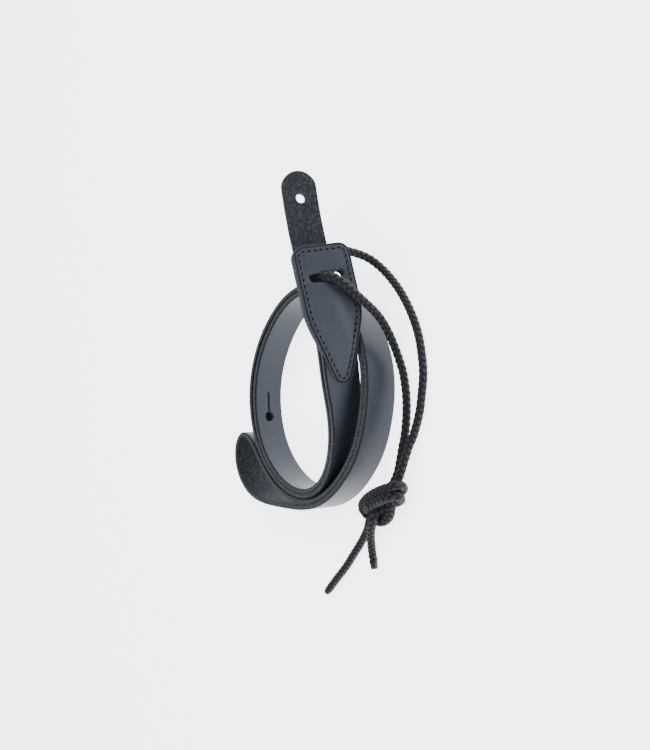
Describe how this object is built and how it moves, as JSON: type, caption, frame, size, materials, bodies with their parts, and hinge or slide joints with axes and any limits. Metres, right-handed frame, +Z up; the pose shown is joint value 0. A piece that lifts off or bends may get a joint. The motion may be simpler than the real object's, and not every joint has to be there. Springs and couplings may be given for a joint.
{
  "type": "instrument strap",
  "caption": "Narrow leather strap for a small stringed instrument, folded and rolled on edge, with a button-hole tab, a stitched shield end and a braided tie cord knotted through its slot.",
  "frame": {"origin": "Middle of the base under the leather, on the surface the rolled strap stands on; the free cord is left out of the box.", "axes": "+Z up across the strap's width, +X toward the free tab end, +Y from the shield's grain face toward the back of the roll."},
  "size_m": [0.2454, 0.167, 0.0551],
  "materials": {
    "grain_leather": "satin black grain leather with pressed crease lines",
    "flesh_leather": "matt black suede-like flesh side",
    "thread": "waxed black polyester thread",
    "braid": "matt black diagonal braid",
    "cord_tip": "heat-sealed, slightly glossy braid end"
  },
  "bodies": {
    "leather": {"strap": "grain_leather", "front_cap": "grain_leather", "back_cap": "flesh_leather", "needle_thread": "thread", "bobbin_thread": "thread"},
    "tie_cord": {"cord_front_leg": "braid", "cord_rear_leg": "braid", "cord_knot": "braid", "cord_long_tail": "braid", "cord_short_tail": "braid", "cord_sealed_tips": "cord_tip"}
  },
  "joints": [
    {"name": "cord_swing", "type": "hinge", "parent": "leather", "child": "tie_cord", "pos_m": [0.0353, -0.0552, 0.04], "axis": [0, 0, 1], "range_deg": [0, 8]}
  ]
}
